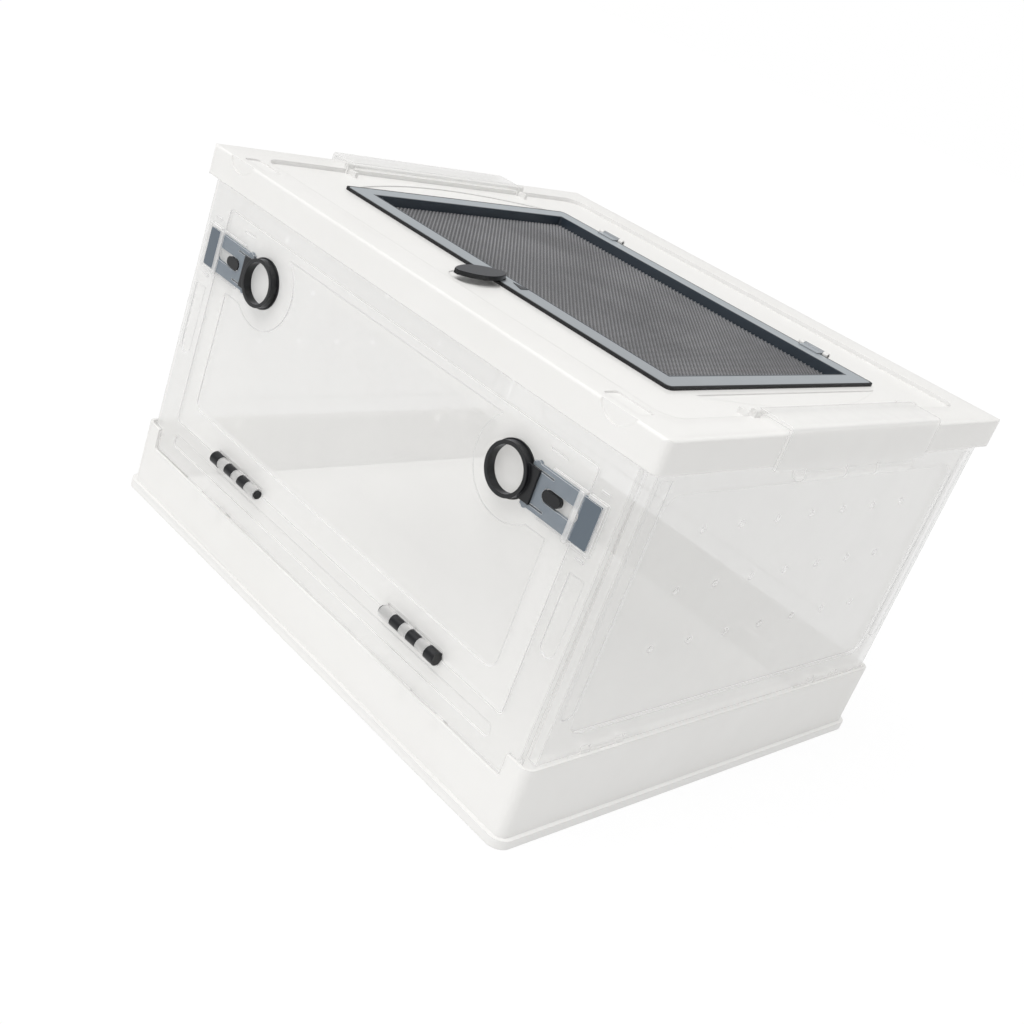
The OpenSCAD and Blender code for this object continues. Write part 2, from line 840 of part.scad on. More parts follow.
module lid() {
    color(milky_pp) difference() {
        union() {
            lid_shell();
            lid_panel();
            lid_seats();
            mirrored_x() buckle_lugs();
            mirrored_x() mesh_lugs();
        }
        mesh_opening();
        turn_slot();
        finger_dip();
        mirrored_x() {
            translate([buckle_axis_x, buckle_mid_y, buckle_axis_z])
                bar_y(buckle_l + 4 * buckle_lug_l, buckle_pin_d + 2 * shaft_fit);
            corner_scoops();
        }
        thumb_recess();
        translate([0, mesh_hinge_y, mesh_hinge_z])
            bar_x(-mesh_hinge_x - mesh_knuckle_l, mesh_hinge_x + mesh_knuckle_l, mesh_pin_d + 2 * shaft_fit);
    }
}

// Rim and skirt
module lid_shell() {
    difference() {
        translate([0, 0, skirt_bottom]) crowned_box(lid_w, lid_d, lid_skirt_h, lid_corner_r, lid_edge_r);
        translate([0, 0, skirt_bottom - 1]) linear_extrude(rim_bottom - skirt_bottom + 1)
            rounded_rect(2 * skirt_in_x, 2 * skirt_in_y, lid_corner_r - lid_wall);
        translate([0, 0, panel_top]) linear_extrude(sunk_depth + 1)
            rounded_rect(2 * sunk_half_w, 2 * sunk_half_d, sunk_r);
    }
}

// Sunk panel and the step that joins it to the rim
module lid_panel() {
    translate([0, 0, panel_bottom]) difference() {
        linear_extrude(box_h - lid_plate_t / 2 - panel_bottom)
            rounded_rect(2 * sunk_half_w + 4, 2 * sunk_half_d + 4, sunk_r + 2);
        translate([0, 0, lid_plate_t]) linear_extrude(sunk_depth + 1)
            rounded_rect(2 * sunk_half_w, 2 * sunk_half_d, sunk_r);
    }
}

// Ribs that stand on the tops of the four walls
module lid_seats() {
    seat_w = plate_t - 0.5;
    seat_short = 10;
    translate([0, 0, seat_z]) linear_extrude(seat_h + tiny) {
        for (s = [-1, 1]) {
            translate([s * (side_in + side_border_t / 2), 0]) square([seat_w, 2 * (side_half_d - seat_short)], center = true);
            translate([0, s * (plate_in + plate_t / 2)]) square([2 * (cross_half_w - seat_short), seat_w], center = true);
        }
    }
}

// Window for the mesh frame's recess
module mesh_opening() {
    margin = mesh_wall + lid_open_gap;
    translate([0, 0, panel_bottom - 1]) linear_extrude(lid_plate_t + 2) mesh_plan(margin, margin, 4);
}

// Slot that the turn latch's foot drops through
module turn_slot() {
    translate([turn_x, turn_y, panel_bottom - 1]) linear_extrude(lid_plate_t + 2)
        rounded_rect(turn_foot_l + 2 * lug_play, turn_foot_w + 2 * lug_play, turn_foot_w / 2);
}

// Shallow pocket under the turn latch's leaf
module finger_dip() {
    translate([turn_x, turn_y - finger_dip_d / 2 - 4, panel_top - thumb_depth]) linear_extrude(2)
        rounded_rect(finger_dip_w, finger_dip_d, finger_dip_w / 2 - 1);
}

// Half-moon finger scoop at a front corner, with a shallow pocket behind it
module corner_scoops() {
    scoop_x = lid_x - 36;
    scoop_r = 14;
    scoop_above = 5;
    scoop_depth = 1.1;
    pocket = [27, 13];
    translate([scoop_x, -lid_y + scoop_depth, box_h + scoop_above]) rotate([90, 0, 0])
        cylinder(h = 3, r = scoop_r, $fn = arc_fn);
    translate([scoop_x - 5, -lid_y + pocket[1] + 0.5, box_h - scoop_depth]) linear_extrude(2)
        rounded_rect(pocket[0], pocket[1], 3);
}

// Shallow lens-shaped thumb recesses beside the mesh frame
module thumb_recess() {
    arc_r = (pow(thumb_half_l, 2) + pow(thumb_w, 2)) / (2 * thumb_w);
    inner = sunk_half_w - thumb_edge - thumb_w;
    mirrored_x() intersection() {
        translate([inner + thumb_w - arc_r, 0, panel_top - thumb_depth]) cylinder(h = 2, r = arc_r, $fn = 2 * arc_fn);
        translate([inner, -thumb_half_l, panel_top - thumb_depth]) cube([thumb_w + 1, 2 * thumb_half_l, 2]);
    }
}

// Lugs at both ends of a buckle
module buckle_lugs() {
    for (s = [-1, 1]) {
        translate([buckle_axis_x, buckle_mid_y + s * (buckle_l + fit * 2 + buckle_lug_l) / 2, 0]) {
            translate([0, 0, buckle_axis_z]) bar_y(buckle_lug_l, 2 * buckle_barrel_r);
            translate([-buckle_barrel_r, -buckle_lug_l / 2, panel_top - tiny])
                cube([2 * buckle_barrel_r, buckle_lug_l, buckle_axis_z - panel_top]);
            translate([-buckle_barrel_r - lug_fin_l, -lug_fin_t / 2, panel_top - tiny])
                cube([lug_fin_l + 1, lug_fin_t, sunk_depth + lug_fin_h]);
        }
    }
}

// Lugs on both sides of a mesh frame knuckle
module mesh_lugs() {
    for (s = [-1, 1]) {
        translate([mesh_hinge_x + s * (mesh_knuckle_l / 2 + fit + mesh_lug_l / 2), mesh_hinge_y, 0]) {
            translate([0, 0, mesh_hinge_z]) bar_x(-mesh_lug_l / 2, mesh_lug_l / 2, mesh_hinge_d);
            translate([-mesh_lug_l / 2, -mesh_hinge_d / 2, panel_top - tiny])
                cube([mesh_lug_l, mesh_hinge_d, mesh_hinge_z - panel_top]);
        }
    }
}

// ---------- buckles ----------

// Right buckle: a flap over the lid's edge, with a split snap bead below the skirt
module buckle() {
    top = buckle_axis_z + buckle_t;
    bend_r = 3;
    translate([0, buckle_mid_y, 0]) difference() {
        union() {
            along_y(-buckle_l / 2, buckle_l) difference() {
                union() {
                    translate([buckle_axis_x, buckle_axis_z]) square([buckle_leg_out - bend_r - buckle_axis_x, buckle_t]);
                    translate([buckle_leg_in, buckle_leg_end]) square([buckle_t, top - bend_r - buckle_leg_end]);
                    translate([buckle_leg_out - bend_r, top - bend_r]) circle(bend_r);
                    translate([buckle_axis_x, buckle_axis_z]) circle(buckle_barrel_r);
                }
                translate([buckle_leg_in - 4, buckle_leg_end - 1]) square([4, buckle_axis_z - buckle_leg_end + 1]);
            }
            translate([buckle_leg_in, bead_mid_y - bead_end, bead_z])
                cube([buckle_t, 2 * bead_end, buckle_leg_end - bead_z + tiny]);
            for (s = [-1, 0, 1]) {
                bead(s);
            }
        }
        translate([buckle_axis_x, 0, buckle_axis_z]) bar_y(buckle_l + 1, buckle_pin_d + 2 * shaft_fit);
        for (s = [-1, 1]) {
            translate([buckle_leg_in - 1, bead_mid_y + s * bead_split - bead_gap / 2, bead_z - bead_r - 1])
                cube([buckle_t + 3, bead_gap, bead_r + 6]);
        }
    }
}

// One length of the snap bead: the middle one or an outer one
module bead(s) {
    l = s == 0 ? 2 * bead_split - bead_gap : bead_end - bead_split - bead_gap / 2;
    y = s == 0 ? 0 : s * (bead_end + bead_split + bead_gap / 2) / 2;
    translate([bead_x, bead_mid_y + y, bead_z]) bar_y(l, 2 * bead_r);
}

module right_buckle() {
    color(clear_pp) buckle();
}

module left_buckle() {
    color(clear_pp) mirror([1, 0, 0]) buckle();
}

module buckle_pins() {
    color(milky_pp) mirrored_x() for (s = [-1, 1]) {
        pin_y = buckle_l / 2 + fit + buckle_lug_l - buckle_pin_l / 2;
        translate([buckle_axis_x, buckle_mid_y + s * pin_y, buckle_axis_z]) bar_y(buckle_pin_l, buckle_pin_d);
    }
}

// ---------- mesh window ----------

// Plan rectangle of the mesh opening, grown by one margin at its sides and one at its ends
module mesh_plan(side, end, r) {
    rounded_span(mesh_half_w + side, mesh_front - end, mesh_back + end, r);
}

module mesh_frame() {
    color(smoke_pc) difference() {
        union() {
            translate([0, 0, flange_bottom]) linear_extrude(flange_t) mesh_plan(flange_w, flange_end_w, 3);
            translate([0, 0, mesh_foot]) linear_extrude(flange_top - mesh_foot) mesh_plan(mesh_wall, mesh_wall, 3);
            mirrored_x() mesh_knuckle();
        }
        translate([0, 0, mesh_top - mesh_t]) linear_extrude(mesh_depth + 2) mesh_plan(0, 0, 2);
        translate([0, 0, mesh_foot - 1]) linear_extrude(4) mesh_plan(-mesh_ledge, -mesh_ledge, 2);
        translate([turn_x, turn_y, mesh_foot]) cylinder(h = 20, d = turn_stem_d + 2 * shaft_fit);
        translate([0, mesh_hinge_y, mesh_hinge_z])
            bar_x(-mesh_hinge_x - mesh_knuckle_l, mesh_hinge_x + mesh_knuckle_l, mesh_pin_d + 2 * shaft_fit);
    }
}

// Knuckle at the back edge, reached by a tab over the seal
module mesh_knuckle() {
    translate([mesh_hinge_x, mesh_hinge_y, mesh_hinge_z]) bar_x(-mesh_knuckle_l / 2, mesh_knuckle_l / 2, mesh_hinge_d);
    translate([mesh_hinge_x - mesh_knuckle_l / 2, flange_back - 4, flange_top - tiny])
        cube([mesh_knuckle_l, mesh_hinge_y - flange_back + 4, 1]);
}

// Black rim round the flange
module mesh_seal() {
    color(black_abs) translate([0, 0, panel_top]) linear_extrude(seal_h) difference() {
        mesh_plan(flange_w + seal_t, flange_end_w + seal_t, 4);
        mesh_plan(flange_w, flange_end_w, 3);
    }
}

module mesh_screen() {
    pitch = [2 * mesh_half_w / screen_cols, (mesh_back - mesh_front) / screen_rows];
    color(black_abs) translate([0, 0, mesh_top - mesh_t]) linear_extrude(mesh_t) difference() {
        mesh_plan(-0.1, -0.1, 2);
        for (i = [0 : screen_cols - 1], j = [0 : screen_rows - 1]) {
            translate([(i + 0.5) * pitch[0] - mesh_half_w, mesh_front + (j + 0.5) * pitch[1]])
                square(pitch - [screen_bar, screen_bar], center = true);
        }
    }
}

module mesh_hinge_pins() {
    pin_l = mesh_knuckle_l + 2 * (fit + mesh_lug_l);
    color(black_abs) mirrored_x() translate([mesh_hinge_x, mesh_hinge_y, mesh_hinge_z])
        bar_x(-pin_l / 2, pin_l / 2, mesh_pin_d);
}

// Leaf-shaped turn button: leaf, stem through the flange, and a foot that turns under the lid
module turn_latch() {
    leaf_z = flange_top + turn_lift;
    foot_top = panel_bottom - fit;
    arc_r = (pow(turn_leaf_l / 2, 2) + pow(turn_leaf_w / 2, 2)) / turn_leaf_w;
    color(black_abs) translate([turn_x, turn_y, 0]) {
        translate([0, turn_tail - turn_leaf_l / 2, leaf_z]) linear_extrude(turn_leaf_t) intersection() {
            translate([arc_r - turn_leaf_w / 2, 0]) circle(arc_r, $fn = 2 * arc_fn);
            translate([turn_leaf_w / 2 - arc_r, 0]) circle(arc_r, $fn = 2 * arc_fn);
            square([turn_leaf_w, turn_leaf_l - 4], center = true);
        }
        translate([0, 0, flange_top + fit]) cylinder(h = leaf_z - flange_top - fit + tiny, d = turn_hub_d);
        translate([0, 0, foot_top - turn_foot_t]) cylinder(h = leaf_z - foot_top + turn_foot_t, d = turn_stem_d);
        translate([0, 0, foot_top - turn_foot_t]) linear_extrude(turn_foot_t)
            slot_outline(-turn_foot_l / 2, turn_foot_l / 2, turn_foot_w);
    }
}

// Triangle that shows which way the button locks
module lock_mark() {
    mark_l = 7;
    color(black_abs) translate([turn_x + 14, turn_y + 5.5, flange_top]) linear_extrude(0.4)
        polygon([[-mark_l, 0], [mark_l / 2, mark_l / 2], [mark_l / 2, -mark_l / 2]]);
}

base_tray();
left_wall();
right_wall();
back_wall();
front_frame();
front_door();
wall_hinge_pins();
door_hinge_pins();
door_hinge_spacers();
left_latch_plate();
right_latch_plate();
left_latch_ring();
right_latch_ring();
latch_guide_posts();
lid();
left_buckle();
right_buckle();
buckle_pins();
mesh_frame();
mesh_seal();
mesh_screen();
mesh_hinge_pins();
turn_latch();
lock_mark();
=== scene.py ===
"""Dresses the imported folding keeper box: moulded finishes, a woven screen and a plain studio."""

import math

import bpy
import numpy as np
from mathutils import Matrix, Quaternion, Vector


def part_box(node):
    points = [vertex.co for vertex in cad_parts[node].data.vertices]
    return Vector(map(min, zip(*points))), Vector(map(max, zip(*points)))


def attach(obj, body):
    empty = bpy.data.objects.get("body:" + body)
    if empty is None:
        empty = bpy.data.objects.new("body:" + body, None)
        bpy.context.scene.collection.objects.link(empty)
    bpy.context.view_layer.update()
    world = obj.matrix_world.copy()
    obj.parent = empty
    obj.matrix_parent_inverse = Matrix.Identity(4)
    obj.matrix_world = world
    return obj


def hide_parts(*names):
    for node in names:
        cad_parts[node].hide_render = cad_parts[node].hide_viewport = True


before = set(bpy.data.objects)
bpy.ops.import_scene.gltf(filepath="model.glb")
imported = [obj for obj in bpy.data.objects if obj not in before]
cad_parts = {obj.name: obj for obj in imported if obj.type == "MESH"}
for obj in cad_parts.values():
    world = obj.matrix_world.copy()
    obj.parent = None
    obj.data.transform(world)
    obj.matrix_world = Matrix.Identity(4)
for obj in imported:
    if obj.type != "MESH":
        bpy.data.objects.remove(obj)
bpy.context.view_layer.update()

bl_info = {
    "name": "Folding keeper box",
    "version": (1, 0, 0),
    "blender": (4, 5, 0),
    "location": "View3D > Sidebar > Keeper box",
    "description": "Finishes and fine pieces of a folding keeper box for small pets",
    "category": "Object",
}

MM = 0.001

# The camera, in metres and degrees
CAMERA_PLACE = (0.5523, -0.7263, 0.4695)
CAMERA_AIM = (0.0462, -0.1244, 0.131)
CAMERA_ROLL = 19.75
CAMERA_LENS = 47.78  # millimetres, on the sensor below
CAMERA_SENSOR = 36.0
CAMERA_SHIFT = (0.0469, -0.0156)

# The stage
FLOOR_HALF = 6.0  # metres from the middle of the floor to its edge
FLOOR_GLOW = 0.86  # share of plain white in the floor where it is looked at
FLOOR_WHITE = 1.02  # strength of that white
KEY_FROM = (-0.06, -0.25, 0.6)  # the direction that the key light comes from
KEY_SPREAD = 50.0  # degrees of sky that it fills, for soft shadows
KEY_POWER = 2.03
SURROUND_LIGHT = 0.46  # strength of the white surround as a light, where 1 is white

# Places on the pieces where a finish changes
SCREEN_DEPTH = 6.6 * MM  # from the flange of the screen's frame down to the screen
LIP_TOP = 1.4 * MM  # from the flange down to where its wall starts to take the painted shade
LIP_FOOT = 2.2 * MM  # from the flange down to where its wall is fully painted dark as shade
WELD_WIDTH = 1.5 * MM  # of the flange's inner edge past the screen, painted dark as shade
WELD_BLUR = 0.3 * MM  # to either side of the line where that dark edge ends
BOLT_LENGTH = 12.5 * MM  # of a latch plate, past the bar that holds it
BOLT_BLUR = 0.5 * MM  # over which the plate turns into the bolt and its painted shade
THREAD_TOP = 0.5 * MM  # from the middle of the weave up to where a thread's painted highlight is full

EDGE_BODY = 0.38  # how far a rounded edge of a clear wall hides what lies behind it


# ---------- colours and shader nodes ----------


def linear(hex_colour):
    """An sRGB hex colour as linear red, green, blue and alpha."""
    parts = [int(hex_colour[i : i + 2], 16) / 255 for i in (1, 3, 5)]
    return [p / 12.92 if p <= 0.04045 else ((p + 0.055) / 1.055) ** 2.4 for p in parts] + [1.0]


def add(tree, kind, inputs=None, **settings):
    """Adds one shader node. Of its inputs, a socket is linked and any other value is set."""
    made = tree.nodes.new(kind)
    for key, value in settings.items():
        setattr(made, key, value)
    for key, value in (inputs or {}).items():
        if isinstance(value, bpy.types.NodeSocket):
            tree.links.new(value, made.inputs[key])
        else:
            made.inputs[key].default_value = value
    return made


def surface(name, deep, pale, gloss, cloud_mm, grain_mm, relief_mm, edge_mm, ior):
    """What all the finishes share: two tones in soft clouds, gloss that varies with the grain, that grain
    as relief, and edges that catch the light as if rounded by edge_mm. The grain is drawn coarser than a
    real one, so that it shows. Returns the material, its tree, its shader, the clouds and the piece's own
    coordinates."""
    material = bpy.data.materials.new(name)
    material.use_nodes = True
    tree = material.node_tree
    tree.nodes.clear()
    place = add(tree, "ShaderNodeTexCoord").outputs["Object"]
    cloud_noise = {"Vector": place, "Scale": 1 / (cloud_mm * MM), "Detail": 3.0}
    clouds = add(tree, "ShaderNodeTexNoise", cloud_noise).outputs["Fac"]
    grain_noise = {"Vector": place, "Scale": 1 / (grain_mm * MM), "Detail": 2.0}
    grain = add(tree, "ShaderNodeTexNoise", grain_noise).outputs["Fac"]
    tone = add(tree, "ShaderNodeMix", {0: clouds, 6: deep, 7: pale}, data_type="RGBA")
    sheen = add(tree, "ShaderNodeMapRange", {"Value": grain, "To Min": gloss[0], "To Max": gloss[1]})
    rounded = add(tree, "ShaderNodeBevel", {"Radius": edge_mm * MM}, samples=8).outputs[0]
    bump = add(tree, "ShaderNodeBump", {"Height": grain, "Distance": relief_mm * MM, "Normal": rounded})
    look = {
        "Base Color": tone.outputs[2],
        "Roughness": sheen.outputs[0],
        "Normal": bump.outputs[0],
        "IOR": ior,
    }
    shader = add(tree, "ShaderNodeBsdfPrincipled", look)
    add(tree, "ShaderNodeOutputMaterial", {"Surface": shader.outputs[0]})
    return material, tree, shader, clouds, place


def paint_edge_highlights(tree, shader, colour):
    """Paints a highlight on rounded edges: the colour turns paler there, as the light that moulded plastic
    gathers on its edges. Returns how far a point is on an edge, from 0 to 1."""
    rounded = next(n for n in tree.nodes if n.type == "BEVEL").outputs[0]
    facing = add(tree, "ShaderNodeNewGeometry").outputs["True Normal"]
    match = add(tree, "ShaderNodeVectorMath", {0: rounded, 1: facing}, operation="DOT_PRODUCT")
    turned = {"Value": match.outputs["Value"], "From Min": 0.97, "From Max": 0.85}
    edge = add(tree, "ShaderNodeMapRange", turned).outputs[0]
    # Painted highlight: the colour turns white on rounded edges
    tone = shader.inputs["Base Color"].links[0].from_socket
    mixed = add(tree, "ShaderNodeMix", {0: edge, 6: tone, 7: colour}, data_type="RGBA")
    tree.links.new(mixed.outputs[2], shader.inputs["Base Color"])
    return edge


def see_through(tree, shader, body, passed):
    """Sets the alpha from a body between 0 and 1. Hazy plastic scatters light on through itself, so to the
    rays that light the inside it has only the share called passed of the body that the eye meets."""
    path = add(tree, "ShaderNodeLightPath").outputs
    lit = add(tree, "ShaderNodeMath", {0: path["Is Shadow Ray"], 1: path["Is Diffuse Ray"]}, use_clamp=True)
    share = add(tree, "ShaderNodeMapRange", {"Value": lit.outputs[0], "To Min": 1.0, "To Max": passed})
    alpha = add(tree, "ShaderNodeMath", {0: body, 1: share.outputs[0]}, operation="MULTIPLY")
    tree.links.new(alpha.outputs[0], shader.inputs["Alpha"])


# ---------- materials ----------


def clear_polypropylene(colours):
    """Clear polypropylene, injection moulded in thin panels. It is see-through but hazy, so what lies
    behind shows pale and soft, with more body where a wall is seen edge on, edges painted pale as
    highlights, and a soft gloss."""
    material, tree, shader, clouds, _ = surface(
        "clear_moulded_polypropylene",
        deep=colours.clear_low,
        pale=colours.clear_high,
        gloss=(0.14, 0.3),
        cloud_mm=90.0,
        grain_mm=9.0,
        relief_mm=0.03,
        edge_mm=1.0,
        ior=1.49,
    )
    slant = add(tree, "ShaderNodeLayerWeight", {"Blend": 0.35}).outputs["Facing"]
    haze = add(tree, "ShaderNodeMapRange", {"Value": clouds, "To Min": 0.2, "To Max": 0.25})
    rim = add(tree, "ShaderNodeMapRange", {"Value": slant, "To Min": 0.0, "To Max": 0.5})
    wall = add(tree, "ShaderNodeMath", {0: haze.outputs[0], 1: rim.outputs[0]})
    edge = paint_edge_highlights(tree, shader, colours.edge_painted_highlight)
    lines = add(tree, "ShaderNodeMath", {0: edge, 1: EDGE_BODY}, operation="MULTIPLY")
    body = add(tree, "ShaderNodeMath", {0: wall.outputs[0], 1: lines.outputs[0]}, use_clamp=True)
    see_through(tree, shader, body.outputs[0], passed=0.15)
    return material


def milky_polypropylene(colours):
    """Milky polypropylene, injection moulded and thicker. It is a warm white that lets a little light
    through, with a satin skin."""
    material, tree, shader, clouds, _ = surface(
        "milky_moulded_polypropylene",
        deep=colours.milky_low,
        pale=colours.milky_high,
        gloss=(0.3, 0.45),
        cloud_mm=80.0,
        grain_mm=6.0,
        relief_mm=0.04,
        edge_mm=0.8,
        ior=1.49,
    )
    body = add(tree, "ShaderNodeMapRange", {"Value": clouds, "To Min": 0.8, "To Max": 0.9})
    see_through(tree, shader, body.outputs[0], passed=0.15)
    return material


def smoke_polycarbonate(colours, bolt_x):
    """Smoke grey polycarbonate, moulded thin. It is blue-grey, lets the white behind it through, darkens
    where it is seen edge on, and has edges painted pale as highlights and a clean gloss. The thicker bolt,
    beyond bolt_x on either side, is solid, and its colour is painted darker as shade."""
    material, tree, shader, _, place = surface(
        "smoke_moulded_polycarbonate",
        deep=colours.smoke_low,
        pale=colours.smoke_high,
        gloss=(0.14, 0.26),
        cloud_mm=18.0,
        grain_mm=4.0,
        relief_mm=0.015,
        edge_mm=0.6,
        ior=1.58,
    )
    axes = add(tree, "ShaderNodeSeparateXYZ", {0: place}).outputs
    side = add(tree, "ShaderNodeMath", {0: axes["X"]}, operation="ABSOLUTE")
    reach = {"Value": side.outputs[0], "From Min": bolt_x, "From Max": bolt_x + BOLT_BLUR}
    bolt = add(tree, "ShaderNodeMapRange", reach)
    # Painted shade: the bolt's colour turns darker beyond bolt_x
    tone = shader.inputs["Base Color"].links[0].from_socket
    deeper = add(tree, "ShaderNodeMix", {0: bolt.outputs[0], 6: tone, 7: colours.bolt}, data_type="RGBA")
    tree.links.new(deeper.outputs[2], shader.inputs["Base Color"])
    paint_edge_highlights(tree, shader, colours.edge_painted_highlight)
    slant = add(tree, "ShaderNodeLayerWeight", {"Blend": 0.3}).outputs["Facing"]
    thin = add(tree, "ShaderNodeMapRange", {"Value": slant, "To Min": 0.66, "To Max": 0.97})
    body = add(tree, "ShaderNodeMath", {0: thin.outputs[0], 1: bolt.outputs[0]}, operation="MAXIMUM")
    tree.links.new(body.outputs[0], shader.inputs["Alpha"])
    return material


def smoke_flange(colours, flange_z, weld_low, weld_high):
    """The same smoke polycarbonate, moulded, in the screen's frame. The flat flange lies on the white lid
    and looks pale, with a painted sheen that makes it paler where it is seen at a slant. Its inner edge,
    where the screen is welded on, and the walls that drop to the screen are painted dark slate as the
    recess's shade.
    The weld ends at two corners, low and high."""
    material, tree, shader, _, place = surface(
        "smoke_moulded_polycarbonate_flange",
        deep=colours.flange_low,
        pale=colours.flange_high,
        gloss=(0.16, 0.28),
        cloud_mm=18.0,
        grain_mm=4.0,
        relief_mm=0.015,
        edge_mm=0.35,
        ior=1.58,
    )
    axes = add(tree, "ShaderNodeSeparateXYZ", {0: place}).outputs
    past = []
    for key, low, high in zip("XY", weld_low, weld_high):
        middle = (low + high) / 2
        offset = add(tree, "ShaderNodeMath", {0: axes[key], 1: middle}, operation="SUBTRACT")
        reach = add(tree, "ShaderNodeMath", {0: offset.outputs[0]}, operation="ABSOLUTE")
        half = (high - low) / 2
        beyond = add(tree, "ShaderNodeMath", {0: reach.outputs[0], 1: half}, operation="SUBTRACT")
        past.append(beyond.outputs[0])
    outside = add(tree, "ShaderNodeMath", {0: past[0], 1: past[1]}, operation="MAXIMUM").outputs[0]
    # Painted shade of the recess: its walls and the flange's inner edge by the screen turn dark slate
    weld = {"Value": outside, "From Min": -WELD_BLUR, "From Max": WELD_BLUR}
    clear = add(tree, "ShaderNodeMapRange", weld)
    lip = {"Value": axes["Z"], "From Min": flange_z - LIP_FOOT, "From Max": flange_z - LIP_TOP}
    above = add(tree, "ShaderNodeMapRange", lip)
    painted_lit_share = add(tree, "ShaderNodeMath", {0: clear.outputs[0], 1: above.outputs[0]}, operation="MULTIPLY")
    tone = shader.inputs["Base Color"].links[0].from_socket
    # Painted sheen: the flange turns paler where it is seen at a slant
    slant = add(tree, "ShaderNodeLayerWeight", {"Blend": 0.5}).outputs["Facing"]
    paler = add(tree, "ShaderNodeMapRange", {"Value": slant, "From Min": 0.7, "From Max": 0.9})
    slanted = {0: paler.outputs[0], 6: tone, 7: colours.flange_painted_sheen}
    top = add(tree, "ShaderNodeMix", slanted, data_type="RGBA")
    tones = {0: painted_lit_share.outputs[0], 6: colours.recess_painted_shade, 7: top.outputs[2]}
    mixed = add(tree, "ShaderNodeMix", tones, data_type="RGBA")
    tree.links.new(mixed.outputs[2], shader.inputs["Base Color"])
    return material


def black_abs(colours):
    """Black ABS, moulded in a spark-eroded tool. It is near black, with a satin grain, and a painted sheen
    turns it dark grey where it is seen at a slant."""
    material, tree, shader, _, _ = surface(
        "black_moulded_abs",
        deep=colours.black_low,
        pale=colours.black_high,
        gloss=(0.28, 0.44),
        cloud_mm=7.0,
        grain_mm=0.6,
        relief_mm=0.02,
        edge_mm=0.4,
        ior=1.53,
    )
    shader.inputs["Specular IOR Level"].default_value = 0.35
    # Painted sheen: the black turns dark grey where it is seen at a slant
    slant = add(tree, "ShaderNodeLayerWeight", {"Blend": 0.5}).outputs["Facing"]
    satin = add(tree, "ShaderNodeMapRange", {"Value": slant, "From Min": 0.6, "From Max": 0.85})
    tone = shader.inputs["Base Color"].links[0].from_socket
    tones = {0: satin.outputs[0], 6: tone, 7: colours.black_painted_sheen}
    mixed = add(tree, "ShaderNodeMix", tones, data_type="RGBA")
    tree.links.new(mixed.outputs[2], shader.inputs["Base Color"])
    return material


def black_rubber(colours):
    """Black rubber, extruded. It is matt, and darker than the plastic beside it."""
    material, *_ = surface(
        "black_extruded_rubber",
        deep=colours.black_low,
        pale=colours.black_high,
        gloss=(0.6, 0.8),
        cloud_mm=3.0,
        grain_mm=0.8,
        relief_mm=0.03,
        edge_mm=0.3,
        ior=1.52,
    )
    return material


def woven_nylon(colours, middle_z):
    """Grey nylon thread, drawn and woven. The tops of the threads carry a painted highlight in rows,
    stronger in some places than in others, and their sides and what lies deeper are painted dark as shade.
    Real threads are finer than these and let more light down, so these pass some of it on."""
    material, tree, shader, clouds, place = surface(
        "woven_nylon_thread",
        deep=colours.thread_painted_shade,
        pale=colours.thread_painted_highlight,
        gloss=(0.3, 0.45),
        cloud_mm=60.0,
        grain_mm=2.0,
        relief_mm=0.01,
        edge_mm=0.1,
        ior=1.53,
    )
    height = add(tree, "ShaderNodeSeparateXYZ", {0: place}).outputs["Z"]
    crown = {"Value": height, "From Min": middle_z, "From Max": middle_z + THREAD_TOP}
    painted_lit_share = add(tree, "ShaderNodeMapRange", crown)
    slow = {"Value": clouds, "From Min": 0.35, "From Max": 0.65, "To Min": 0.7}
    highlight_patches = add(tree, "ShaderNodeMapRange", slow)
    lit = add(tree, "ShaderNodeMath", {0: painted_lit_share.outputs[0], 1: highlight_patches.outputs[0]}, operation="MULTIPLY")
    # Painted highlight on the thread tops and painted shade below: the tone follows a thread's height in the
    # weave, in place of the clouds alone
    tones = {0: lit.outputs[0], 6: colours.thread_painted_shade, 7: colours.thread_painted_highlight}
    mixed = add(tree, "ShaderNodeMix", tones, data_type="RGBA")
    tree.links.new(mixed.outputs[2], shader.inputs["Base Color"])
    see_through(tree, shader, 1.0, passed=0.4)
    return material


def studio_paper(colour):
    """White studio paper, pressed, matt and with a faint felt. It is near white where it is looked at, and
    keeps a soft shadow."""
    material, tree, shader, _, _ = surface(
        "white_studio_paper",
        deep=[c * 0.99 for c in colour[:3]] + [1.0],
        pale=colour,
        gloss=(0.88, 0.95),
        cloud_mm=40.0,
        grain_mm=5.0,
        relief_mm=0.05,
        edge_mm=0.1,
        ior=1.45,
    )
    shader.inputs["Specular IOR Level"].default_value = 0.0
    path = add(tree, "ShaderNodeLightPath").outputs
    straight = add(tree, "ShaderNodeMath", {0: path["Is Camera Ray"], 1: path["Is Glossy Ray"]})
    views = {0: straight.outputs[0], 1: path["Is Transmission Ray"]}
    seen = add(tree, "ShaderNodeMath", views, use_clamp=True)
    amount = add(tree, "ShaderNodeMath", {0: seen.outputs[0], 1: FLOOR_GLOW}, operation="MULTIPLY")
    glow = add(tree, "ShaderNodeEmission", {"Strength": FLOOR_WHITE})
    shares = {0: amount.outputs[0], 1: shader.outputs[0], 2: glow.outputs[0]}
    mixed = add(tree, "ShaderNodeMixShader", shares)
    output = next(n for n in tree.nodes if n.type == "OUTPUT_MATERIAL")
    tree.links.new(mixed.outputs[0], output.inputs["Surface"])
    return material


# ---------- pieces ----------


def finish_nodes(names, material):
    """Gives CAD nodes their material."""
    for name in names:
        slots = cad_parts[name].data.materials
        slots.clear()
        slots.append(material)


def new_piece(name, vertices, faces, material):
    """A mesh object from its corners and faces."""
    mesh = bpy.data.meshes.new(name)
    mesh.from_pydata(vertices, [], faces)
    mesh.materials.append(material)
    piece = bpy.data.objects.new(name, mesh)
    bpy.context.scene.collection.objects.link(piece)
    return piece


